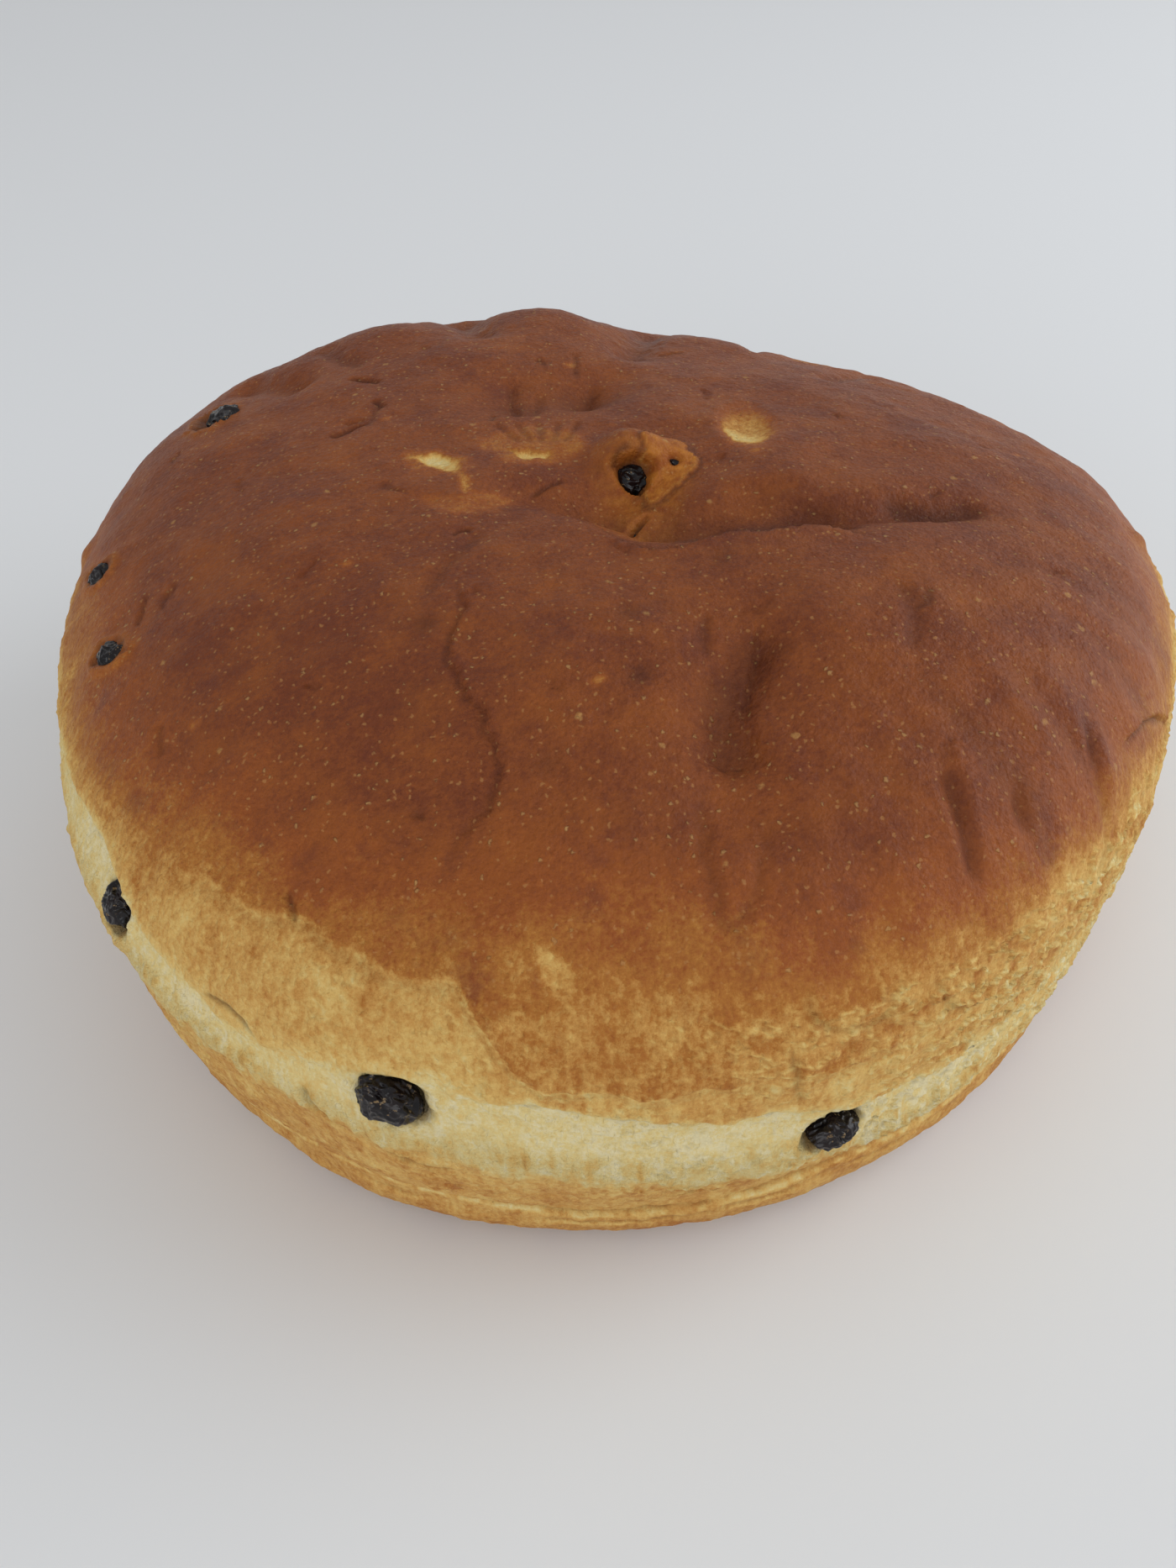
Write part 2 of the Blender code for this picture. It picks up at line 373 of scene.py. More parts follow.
# How far each zone is baked, before its mottling.
CRUST_BAKE = 0.60  # at the browning line
CRUST_DEEPENING = 0.32  # added above it
CRUST_CLIMB = 17  # millimetres over which it is added
SKIRT_BAKE = 0.375
CRUMB_BAKE = 0.07
FOOT_BAKE = 0.42


def stretched_noise(across, down, seed):
    """Noise in streaks that run downhill: about so many millimetres across and down."""
    turn_mm = np.radians(heading) * SIDE_SCALE
    places = np.column_stack((turn_mm / across, level / down, np.full(len(level), seed)))
    return noise_field(places, 1.0)


def paint_zones():
    """The zones' bake and relief all over the loaf. Gives back where the dark crust lies, as 0 to 1."""
    broad = noise_field(skin, 34, 3)
    middling = noise_field(skin, 9, 4)
    patches = noise_field(skin, 3.6, 14)
    streaks = stretched_noise(2.6, 9, 5)
    fine_streaks = stretched_noise(1.1, 5, 6)

    fade = level - ring_levels(*BROWNING) + 1.5 * middling + 1.2 * streaks + 0.8 * wobble
    crust = CRUST_BAKE + CRUST_DEEPENING * smoothstep(0, CRUST_CLIMB, fade)
    crust += 0.07 * broad + 0.05 * middling
    skirt = SKIRT_BAKE + 0.07 * middling + 0.05 * (patches + streaks + fine_streaks)
    over = smoothstep(-6.0, 4.5, fade)
    bake[:] = skirt + (crust - skirt) * over

    edge = ring_levels(*SKIN_EDGE) + 1.2 * noise_field(skin, 8, 7) + wobble
    crisp = ring_levels(*EDGE_CRISPNESS)
    above = level - edge
    bake[:] += 0.15 * crisp * smoothstep(-0.6, 0.6, above) * smoothstep(22, 4, above)
    height[:] += 0.6 * crisp * smoothstep(-0.5, 0.5, above) * np.exp(-np.maximum(above, 0) / 5)
    rim = crisp * bell(above + 0.1, 0.35) * smoothstep(-0.3, 0.4, noise_field(skin, 5, 8))
    bake[:] -= 0.16 * rim
    # painted shade just below the step at the skin's edge
    darken(slice(None), 0.16 * crisp * bell(above + 1.0, 0.6))

    top = ring_levels(*BAND_TOP) + 1.0 * noise_field(skin, 6, 9) + 0.8 * wobble
    foot = ring_levels(*BAND_FOOT) + 1.6 * noise_field(skin, 7, 10) + 2.0 * fine_streaks + wobble
    strength = np.clip(ring_levels(*BAND_STRENGTH) + 0.35 * noise_field(skin, 22, 11), 0.3, 1)
    depth = (top - level) / np.maximum(top - foot, 4)  # 0 at the band's top, 1 at its foot
    soft = ring_levels(*BAND_SOFTNESS)
    into = top - level + soft * (0.9 * patches + 0.7 * streaks)
    pale = smoothstep(-1.6 * soft, 0.9 * soft, into) * smoothstep(1.15, 0.80, depth) * strength
    ragged = smoothstep(0.35, 0.75, depth + 0.12 * streaks)
    crumb = CRUMB_BAKE + 0.05 * middling + 0.04 * patches
    crumb += ragged * (0.06 + 0.26 * np.maximum(fine_streaks, 0) + 0.06 * patches)
    bake[:] += (crumb - bake) * pale
    strands[:] = pale * ragged
    bulge = -1.2 * smoothstep(-0.05, 0.03 + 0.03 * soft, depth) * smoothstep(0.85, 0.05, depth)
    bulge += 0.8 * bell(depth - 0.85, 0.25)
    height[:] += strength * bulge
    height[:] += strands * (0.40 * streaks + 0.55 * np.abs(fine_streaks))
    # painted shadow under the skirt's overhang, at the top of the burst band
    overhang_shadow = bell(depth - 0.02, 0.05) * smoothstep(2.5, 1.0, soft)
    darken(slice(None), 0.30 * strength * overhang_shadow * smoothstep(-0.3, 0.4, streaks))

    below = smoothstep(0.85, 1.25, depth)
    lower = FOOT_BAKE + 0.08 * middling + 0.08 * patches + 0.07 * streaks + 0.05 * broad
    lower += 0.06 * smoothstep(12, 3, level)
    bake[:] += (lower - bake) * below
    crease = level - ring_levels(*LIP_CREASE) - 0.9 * noise_field(skin, 9, 12) - 0.6 * wobble
    near_foot = smoothstep(1.5, 5, level)
    opened = smoothstep(-0.35, 0.25, noise_field(skin, 16, 15) + 0.4 * streaks)
    height[:] -= near_foot * (0.75 * opened * bell(crease, 0.6) - 0.4 * bell(crease + 2.0, 1.4))
    # painted shade in the lip crease
    darken(slice(None), 0.45 * opened * bell(crease, 0.45))
    bake[:] -= 0.28 * bell(crease + 1.0, 0.5) * smoothstep(-0.4, 0.2, streaks)
    second = crease + 3.2 + 2.6 * noise_field(skin, 15, 13)
    split = smoothstep(0.0, 0.4, noise_field(skin, 19, 16) + 0.2 * streaks + 0.15)
    height[:] -= near_foot * 0.5 * split * bell(second, 0.6)
    # painted shade in the second crease
    darken(slice(None), 0.35 * split * bell(second, 0.4))
    bake[:] -= 0.22 * split * bell(second + 0.9, 0.4) * smoothstep(-0.3, 0.3, patches)
    return over


FLAKING = (  # where the skirt's skin has flaked
    (-180, 0.3), (-140, 0.2), (-100, 0.25), (-85, 0.5), (-70, 0.9), (-25, 0.9), (20, 0.5), (60, 0.8),
    (110, 0.3), (150, 0.7),
)


def roughen(crusted):
    """Small lumps everywhere, coarse on the skirt and fine on the dark crust, and flakes of skin."""
    standing = smoothstep(0.5, 5, level)
    lumps = 0.40 * noise_field(skin, 10, 20) + 0.20 * noise_field(skin, 4.5, 21)
    grain = 0.10 * noise_field(skin, 2.0, 22) + 0.06 * noise_field(skin, 1.1, 23)
    flaky = np.abs(noise_field(skin, 1.5, 25))
    rough = (1 - crusted) * (0.22 * noise_field(skin, 2.4, 24) + 0.20 * flaky)
    height[:] += standing * (lumps + grain + rough)

    flaking = np.clip(ring_levels(*FLAKING) + 0.4 * noise_field(skin, 15, 26), 0, 1)
    flaking *= smoothstep(0.75, 0.15, crusted) * smoothstep(15, 24, level)
    scales = noise_field(skin, 3.4, 27) + 0.5 * noise_field(skin, 1.6, 28)
    lifted = smoothstep(0.02, 0.10, scales) * smoothstep(0.55, 0.10, scales)
    height[:] += 0.65 * flaking * lifted
    bake[:] -= 0.25 * flaking * bell(scales - 0.07, 0.07)
    bake[:] += 0.10 * flaking * smoothstep(0.2, 0.5, scales)
    # painted shade under the lifted edges of the flakes
    darken(slice(None), 0.32 * flaking * bell(scales + 0.02, 0.04))


def ripple_right_slope():
    """Soft wrinkles that run downhill on the right of the front."""
    waves = stretched_noise(6.5, 30, 30)
    there = bell(heading + 42, 26) * smoothstep(60, 68, level) * smoothstep(89, 82, level)
    height[:] += 1.1 * there * waves
    # painted shade in the troughs of the wrinkles
    darken(slice(None), 0.30 * there * smoothstep(-0.1, -0.5, waves))


# ---- The crown: two lobes in front, a hollow with torn skin behind them.


def crown_lobes():
    """The two front lobes: the hollow behind them, the valleys round them and their ridges."""
    swell(on_dome((5, -14))[0], 8, -2.4)
    swell(on_dome((7, -22))[0], 5, -1.2)
    groove(on_dome((-12, -12), (0, -14), (9, -20), (17, -20), (26, -18)), 1.6, 2.6, dark=0.25)
    groove(on_dome((26, -18), (35, -18), (44, -21), (52, -21), (62, -19)), 1.4, 2.6, dark=0.25)
    behind = ((8, -27), (14, -26), (19, -24.5), (26, -25.5), (33, -22.5), (39, -24), (44, -27.5))
    # painted shadow behind the ridge: a dark groove, and a wider, shallower one further back
    groove(on_dome(*behind), 2.6, 2.2, dark=0.80, ragged=0.4)
    groove(on_dome(*((x, y + 2.5) for x, y in behind)), 0.8, 3.0, dark=0.60, ragged=0.5)
    groove(on_dome((47, -16), (53, -18.5), (60, -18.5), (67, -16)), 1.3, 2.6, dark=0.70, ragged=0.5)
    ridge = (
        (-3, -22), (1, -27), (6, -32), (10, -33), (14, -31.5), (20, -29.5), (27, -31), (34, -28),
        (40, -29.5), (46, -33),
    )
    fold(on_dome(*ridge[::-1]), 1.3, 3.4, drop=1.2, dark=0.65, ragged=0.25)
    fold(on_dome((62, -21), (56, -24), (50, -20)), 0.5, 2.5, drop=0.8, dark=0.5, ragged=0.3)
    fold(on_dome((4, -30), (-4, -21), (-12, -15), (-19, -18)), 0.5, 3, drop=0.4, dark=0.25)
    groove(on_dome((-20, -22), (-25, -30), (-29, -38), (-30, -42)), 0.5, 1.6, dark=0.2)
    groove(on_dome((-13, -9), (-10, -6), (-6, -4)), 0.6, 0.45, dark=0.7)
    groove(on_dome((-26, -24), (-24, -22), (-22, -23)), 0.5, 0.4, dark=0.7)


def torn_crown():
    """Orange torn skin round the crown's raisins, with a scalloped flap and a slit."""
    swell(on_dome((4.5, 4.5))[0], 4.5, 0.8)
    zone = (
        (-1, 3), (4, 6), (11, 8), (16, 5), (17, -4), (14, -12), (12, -22), (7, -27), (2, -23),
        (-1, -12),
    )
    picked, depth = within(on_dome(*zone), 5)
    reddened = smoothstep(-3.0, 4.5, depth + 1.8 * wobble[picked])
    torn[picked] = np.maximum(torn[picked], 0.6 * reddened)
    slit = on_dome((5.4, -17))[0]
    golden = bell(np.linalg.norm(skin[picked] - slit, axis=1) + 0.8 * wobble[picked], 5)
    torn[picked] = np.maximum(torn[picked], golden)
    flap = ((8, 3), (11, 6), (15, 6), (17.5, 1), (17, -3), (14, -5), (12, -8), (9, -10), (7, -9))
    picked, depth = within(on_dome(*flap), 3)
    depth = depth + 1.0 * wobble[picked] + 0.9 * noise_field(skin[picked], 1.3, 31)
    height[picked] += 0.55 * smoothstep(-0.25, 0.25, depth)
    torn[picked] = np.maximum(torn[picked], smoothstep(-0.3, 0.6, depth))
    tint(picked, 0.35, 0.8 * bell(depth - 0.3, 0.4))
    # painted shadow round the foot of the flap's raised edge
    darken(picked, 0.55 * bell(depth + 0.6, 0.5))
    large = ((1.6, -1.2), (6, -0.4), (10.6, -1.0), (9.4, -3), (7.4, -6.0), (5, -5.4), (2.6, -3.4))
    small = ((11.9, 0.4), (13.4, 1.0), (15.0, 0.2), (14, -1.4), (12.6, -1.2))
    long = ((2.3, -17.3), (4.2, -14.4), (7.6, -12.2), (8.9, -13.8), (6.6, -17.0), (3.4, -19.2))
    open_pit(on_dome(*large), 3.0)
    open_pit(on_dome(*small), 1.2)
    open_pit(on_dome(*long), 1.8, dark=0.78)
    roof = on_dome((0.8, -2.4), (1.6, -0.8), (3.6, 0.6), (6.5, 0.8))
    fold(roof, 0.5, 1.2, drop=0.0, dark=0.7, ragged=0.2)
    groove(on_dome((4.0, 3.6), (6.0, 5.6), (8.6, 6.4)), 0.4, 0.45, dark=0.7, ragged=0.3)


def open_pit(outline, depth, dark=0.8):
    """A hole torn in the skin, down to the raisin in it."""
    picked, inward = within(outline, 3)
    inward = inward + 0.35 * wobble[picked]
    height[picked] -= depth * smoothstep(-0.35, 0.9, inward)
    height[picked] += 0.10 * bell(inward + 0.7, 0.6)
    # painted shade down in the pit
    darken(picked, dark * smoothstep(0.1, 1.0, inward))
    tint(picked, 0.42, 0.5 * bell(inward + 0.35, 0.4))


DIMPLE = np.array((5.2, 10.0))  # half its width and its depth, seen from above


def pale_blisters():
    """The dimple and the tears and scuffs where paler skin shows round the crown."""
    offset = skin - on_dome((28, 12.5))[0]
    picked = np.flatnonzero(np.linalg.norm(offset, axis=1) < 20)
    across = offset[picked, :2] / DIMPLE
    away = np.linalg.norm(across, axis=1) + 0.10 * wobble[picked]
    height[picked] -= 1.3 * smoothstep(1.25, 0.10, away)
    height[picked] += 0.15 * bell(away - 1.3, 0.3)
    share = smoothstep(1.35, 0.35, away)
    tint(picked, 0.54, share)
    lower = -across[:, 1] - 0.15 * across[:, 0]
    tint(picked, 0.42, 0.9 * share * smoothstep(-0.7, 0.4, lower))
    corner = smoothstep(0.15, 0.75, lower - 0.35 * across[:, 0])
    tint(picked, 0.22, smoothstep(1.0, 0.8, away) * corner)
    tear = ((-34, 4), (-30, 5), (-26.5, 2), (-24.5, -2), (-26.5, -3), (-30, -0.5), (-33.5, 1.5))
    blotch(on_dome(*tear), 0.50, 0.0, spread=3)
    blotch(on_dome(*tear), 0.25, 0.5)
    blotch(on_dome((-33, 3.5), (-30, 4.2), (-27, 1.5), (-29, 0.5), (-32, 1.8)), 0.14, 0.2)
    blotch(on_dome((-26, -2), (-23.5, -3), (-23, -9), (-24.5, -13), (-25.5, -8)), 0.48, 0.2)
    scuff = ((-31, -11), (-24, -11), (-16, -9), (-16, -14), (-24, -17), (-30, -15))
    blotch(on_dome(*scuff), 0.66, 0.2, spread=1.5)
    halo = ((-22, 8), (-14, 14), (-5, 12), (-3, 6), (-8, 2), (-14, 1), (-18, 3))
    blotch(on_dome(*halo), 0.62, 0.0, spread=3)
    gash = ((-16.5, 4.8), (-12, 4.8), (-8.5, 4.8), (-9.8, 2.2), (-13, 1.8), (-15.5, 2.6))
    blotch(on_dome(*gash), 0.20, 0.8)
    for turn in range(5):
        start, end = (-14 + 1.8 * turn, 7), (-20 + 4.2 * turn, 16)
        groove(on_dome(start, end), 0.45, 0.8, dark=0.30, ragged=0.5)


def blotch(outline, value, dip, spread=0.5):
    """A ragged patch of skin baked to some other value, sunk by a dip, fading out over a spread."""
    picked, inward = within(outline, 2 + spread)
    inward = inward + (1 + 0.5 * spread) * wobble[picked]
    share = smoothstep(-spread, 0.9, inward)
    tint(picked, value, 0.85 * share)
    height[picked] -= dip * share


def dome_creases():
    """Dents, cracks and long soft creases over the dome."""
    swell(on_dome((-16, 24))[0], 4.5, -1.3, dark=0.35)
    swell(on_dome((-3, 27))[0], 5.0, -1.5, dark=0.45)
    groove(on_dome((-17, 35), (-17, 27), (-15, 18)), 0.8, 1.2, dark=0.45)
    groove(on_dome((1, 35), (-2, 31), (-4, 21)), 1.0, 1.5, dark=0.5)
    groove(on_dome((-4, 47), (-4, 37)), 0.5, 0.8, dark=0.45)
    groove(on_dome((-11, 32), (-13, 18)), 0.6, 1.3, dark=0.3)
    long_crease = (
        (-25, -33), (-22, -44), (-25, -52), (-23, -60), (-19, -67), (-16, -73), (-17, -79),
        (-22, -84), (-25, -88), (-25, -91),
    )
    fold(on_dome(*long_crease), 0.45, 2.5, drop=0.4, dark=0.36, ragged=1.7)
    valley = ((24, -51), (22, -57), (17.5, -64), (15.5, -70), (18, -79))
    groove(on_dome(*valley), 1.9, 3.6, dark=0.46, ragged=1.4)
    fold(on_dome((18, -70), (19, -64), (21, -58), (23, -50)), 0.8, 3.5, drop=0.5, dark=0.5)
    u_fold = ((13, -77), (11, -85), (12, -94), (14, -99), (17, -97), (20, -89), (21, -82))
    groove(on_dome(*u_fold), 0.5, 1.1, dark=0.26, ragged=1.0)
    swell(on_dome((16, -89))[0], 4.0, 0.5)
    groove(on_dome((45, -43), (47, -52), (44, -61)), 0.7, 1.6, dark=0.3)
    swell(on_dome((33, -54))[0], 9, 1.0)
    groove(on_dome((15, -49), (14, -55), (15, -58)), 0.5, 1.0, dark=0.35)
    for x, y, dark in ((4, -62, 0.6), (3, -49, 0.4), (-29, -47, 0.5), (-10, -75, 0.35), (18, -36, 0.3)):
        swell(on_dome((x, y))[0], 2.0, -0.3, dark=dark)
    groove(on_dome((-52, 15), (-48.5, 16), (-44, 19)), 0.9, 0.7, dark=0.9, ragged=1.0)
    groove(on_dome((-44, 28), (-42, 24)), 0.8, 0.7, dark=0.9, ragged=0.8)
    groove(on_dome((-51, 39), (-47, 38), (-43, 36)), 0.9, 0.7, dark=0.9, ragged=1.0)
    groove(on_dome((-43, 26), (-44, 17)), 0.4, 0.7, dark=0.35)
    for x, y in ((48, -84), (58, -83), (72, -70)):
        groove(on_dome((x - 1, y + 8), (x, y), (x + 2, y - 7)), 0.9, 1.2, dark=0.45, rim=0.3)
    groove(on_dome((-81, -20), (-82, -28)), 0.5, 0.6, dark=0.5)
    fold(on_side((-40, 71), (-33, 70), (-26, 60)), 0.8, 2.0, drop=0.5, dark=0.6)
    blotch(on_dome((-13, -98), (-10, -99.5), (-6.5, -102.5), (-8.5, -104.5), (-12, -102.5)), 0.40, 0.2)
    blotch(on_dome((46, 68), (50, 68), (54, 64), (50, 62)), 0.42, 0.2)


CRACKS = 34
CRACKED_REACH = 92  # millimetres from the middle to the outermost crack
GOLDEN_ANGLE = 137.5  # degrees from each crack to the next, which spreads them evenly


def small_cracks():
    """Short ragged cracks and scuffs, scattered over the dark crust."""
    for step in range(CRACKS):
        turn = math.radians(step * GOLDEN_ANGLE)
        reach = CRACKED_REACH * math.sqrt((step + 2) / (CRACKS + 2))
        x, y = reach * math.cos(turn), reach * math.sin(turn)
        way = turn + 1.3 + math.sin(step * 1.9)
        half = 1.0 + 2.6 * math.sin(step * 2.7) ** 2
        run, climb = half * math.cos(way), half * math.sin(way)
        bent = (x + 0.3 * climb, y - 0.3 * run)
        crack = ((x - run, y - climb), bent, (x + run, y + climb))
        strength = 0.12 + 0.45 * math.sin(step * 1.3) ** 4
        groove(on_dome(*crack), 0.4, 0.65, dark=strength, ragged=1.6)
        if step % 3 == 0:
            scuff = ((x + 5, y), (x + 7, y + 1), (x + 7.5, y - 0.6), (x + 5.6, y - 1))
            blotch(on_dome(*scuff), 0.56, 0.05)


def back_lobes():
    """The lobes that notch the outline of the back, and a small point on the left and on the right."""
    swell(on_dome((-9, 69))[0], 12, 3.0)
    swell(on_dome((-47, 64))[0], 13, 3.0)
    swell(on_dome((26, 66))[0], 11, 1.2)
    groove(on_dome((14, 84), (11, 66), (9, 54), (6, 44)), 2.4, 4.2, dark=0.25, ragged=1.0)
    groove(on_dome((-30, 84), (-27, 66), (-23, 52)), 2.4, 4.5, dark=0.2, ragged=1.0)
    groove(on_dome((-78, 56), (-69, 48), (-58, 41)), 2.2, 4.5, dark=0.15, ragged=1.0)
    groove(on_dome((-60, 62), (-54, 52), (-47, 45)), 0.9, 2.2, dark=0.3)
    groove(on_dome((62, 58), (54, 48), (46, 40)), 0.9, 2.4, dark=0.25)
    groove(on_dome((40, 82), (36, 70), (34, 60)), 1.0, 2.0, dark=0.3)
    swell(on_side((172, 66))[0], 3.0, 1.2)
    swell(on_side((-3, 70))[0], 2.5, 1.2)


# ---- The skirt and the burst band, in front and then all round.

FLAPS_ROUND = 14  # places for a flap, spread all round the loaf


def side_features():
    """Flaps of skin and cracks on the skirt and the burst band."""
    upper = ((-77, 66), (-76, 58), (-71, 56), (-69, 60))
    fold(on_side(*upper), 0.5, 1.5, drop=0.3, dark=0.22, light=0.5, ragged=1.2)
    lower = ((-78, 57), (-77.5, 50), (-77, 43))
    fold(on_side(*lower), 0.5, 1.6, drop=0.5, dark=0.35, light=0.5, ragged=0.9)
    right = ((-66, 62), (-65, 54), (-62, 49), (-58, 50))
    fold(on_side(*right), 0.4, 1.5, drop=0.3, dark=0.2, light=0.5, ragged=1.2)
    groove(on_side((-126, 52), (-122, 53), (-120, 49)), 0.5, 0.5, dark=0.7)
    groove(on_side((-116, 44), (-115, 38), (-113, 35)), 0.8, 0.7, dark=0.45, rim=0.3)
    groove(on_side((-110, 33), (-107, 31), (-104, 32)), 0.8, 0.7, dark=0.6, rim=0.3)
    groove(on_side((-90, 20), (-86, 21), (-81, 22)), 0.7, 0.5, dark=0.55)
    fold(on_side((-118, 66), (-120, 69)), 0.6, 1.5, drop=0.6, dark=0.6, light=0.5)
    for step in range(FLAPS_ROUND):
        turn = -175 + step * 25.7 + 7 * math.sin(step * 2.1)
        if -150 < turn < -50:  # the front, which has its own flaps above
            continue
        peak = 60 + 4 * math.sin(step * 1.7)
        run = 5 + 2 * math.sin(step * 0.9)
        flap = ((turn, peak), (turn + 2, peak - 8), (turn + run, peak - 11), (turn + run + 3, peak - 5))
        fold(on_side(*flap), 0.4, 1.6, drop=0.3, dark=0.22, light=0.4, ragged=1.2)
        groove(on_side((turn + 9, 24), (turn + 13, 26), (turn + 17, 23)), 0.7, 0.6, dark=0.5, rim=0.2)


crusted = paint_zones()
roughen(crusted)
ripple_right_slope()
crown_lobes()
torn_crown()
pale_blisters()
dome_creases()
small_cracks()
back_lobes()
side_features()


# ---------------------------------------------------------------- raisins, and their seats


def raisin_axes(name):
    """A raisin node's middle, its length, width and thickness axes, and half its sizes, in mm."""
    corners = np.array([vertex.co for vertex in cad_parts[name].data.vertices]) / MM
    middle = (corners.min(0) + corners.max(0)) / 2
    _, axes = np.linalg.eigh(np.cov((corners - middle).T))
    axes = axes[:, ::-1]
    axes[:, 2] = np.cross(axes[:, 0], axes[:, 1])
    reach = (corners - middle) @ axes
    return middle, axes, np.abs(reach).max(0)


OPEN_RAISINS = {  # the rim of crust that a raisin in the open pushes up round it, in millimetres
    "raisin_front_left": 0.5,
    "raisin_front_right": 0.4,
    "raisin_left_side": 0.4,
    "raisin_right_side": 0.4,
    "raisin_back_right": 0.5,
    "raisin_back": 0.4,
    "raisin_back_left": 0.5,
}


def seat_raisins():
    """Hollows the crust round each raisin, so that the raisin shows and its edge is buried."""
    for name in raisin_names():
        middle, axes, half = raisin_axes(name)
        offset = skin - middle
        picked = np.flatnonzero(np.linalg.norm(offset, axis=1) < 2.6 * half[0])
        spread = np.linalg.norm(offset[picked] @ axes / half, axis=1) + 0.16 * wobble[picked]
        if name in OPEN_RAISINS:
            height[picked] -= 1.6 * smoothstep(1.0, 0.7, spread)
            height[picked] += OPEN_RAISINS[name] * bell(spread - 1.30, 0.20)
            # painted shade in the gap round the raisin
            darken(picked, 0.8 * smoothstep(1.12, 0.90, spread))
        elif "crown" not in name:
            spread += 0.25 * noise_field(skin[picked], 2.2, 35)
            height[picked] -= 1.3 * smoothstep(0.95, 0.6, spread)
            height[picked] += 0.55 * bell(spread - 1.12, 0.18)
            # painted shade in the gap round the raisin
            darken(picked, 0.7 * smoothstep(1.15, 0.80, spread))
            torn[picked] = np.maximum(torn[picked], 0.45 * smoothstep(1.7, 1.2, spread))


RAISIN_SHIFTS = {  # millimetres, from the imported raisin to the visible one
    "raisin_left_side": (1.1, 1.0, 0.0),
    "raisin_front_left": (-0.8, 0.3, 0.2),
    "raisin_back_left_rim": (2.6, 0.0, 0.9),
    "raisin_crown": (1.3, -1.8, -1.1),
    "raisin_crown_small": (0.0, -1.2, 0.4),
    "raisin_crown_slit": (0.2, -0.4, -3.6),
}
RAISIN_TRIMS = {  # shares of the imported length, width and thickness that the visible raisin has
    "raisin_front_right": (0.90, 0.72, 1.0),
}


def make_raisin(name, seed):
    """A wrinkled dried grape: deep winding folds, finer ones across them, a glossy skin."""
    middle, axes, half = raisin_axes(name)
    middle = middle + RAISIN_SHIFTS.get(name, (0, 0, 0))
    half = half * RAISIN_TRIMS.get(name, (1, 1, 1))
    bm = bmesh.new()
    bmesh.ops.create_icosphere(bm, subdivisions=6, radius=1)
    ball = np.array([vertex.co for vertex in bm.verts])
    warp = ball + 0.35 * np.column_stack([noise_field(ball, 0.7, seed + step) for step in range(3)])
    big = 1 - np.abs(noise_field(warp, 0.75, seed + 3)) * 2
    small = 1 - np.abs(noise_field(warp, 0.32, seed + 4)) * 2
    fine = noise_field(warp, 0.13, seed + 5)
    radius = 0.75 + 0.10 * noise_field(ball, 1.0, seed + 6)
    radius += 0.13 * big + 0.07 * small + 0.015 * fine
    shaped = middle + (ball * radius[:, None] * half) @ axes.T
    for vertex, place in zip(bm.verts, shaped * MM):
        vertex.co = place
    mesh = bpy.data.meshes.new(name + "_skin")
    bm.to_mesh(mesh)
    bm.free()
    obj = new_object(name + "_skin", mesh)
    # how deep in a fold each point lies, for the painted shade in the raisin's material
    add_attribute(obj, "crease", smoothstep(0.55, 1.0, 1 - 0.5 * (big + small)))
    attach(obj, "root")
    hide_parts(name)
    return obj


def new_object(name, mesh):
    """A smoothly shaded object in the scene."""
    mesh.shade_smooth()
    obj = bpy.data.objects.new(name, mesh)
    bpy.context.scene.collection.objects.link(obj)
    return obj


def add_attribute(obj, name, values):
    """One number at each point of the mesh, for the material to read."""
    attribute = obj.data.attributes.new(name, "FLOAT", "POINT")
    attribute.data.foreach_set("value", np.asarray(values, dtype=np.float32))


def make_crust():
    """The crust's mesh, moved out along its normals, with its attributes."""
    standing = smoothstep(0.0, 3.0, level)
    moved = points + normals * (height * standing * MM)[:, None]
    moved[:, 2] = np.maximum(moved[:, 2], 0)
    mesh = bpy.data.meshes.new("crust")
    mesh.from_pydata(moved.tolist(), [], quads.tolist())
    obj = new_object("crust", mesh)
    for name, values in (("bake", bake), ("shade", shade), ("torn", torn), ("strands", strands)):
        add_attribute(obj, name, np.clip(values, 0, 1))
    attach(obj, "root")
    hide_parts("loaf")
    return obj


# ---------------------------------------------------------------- materials


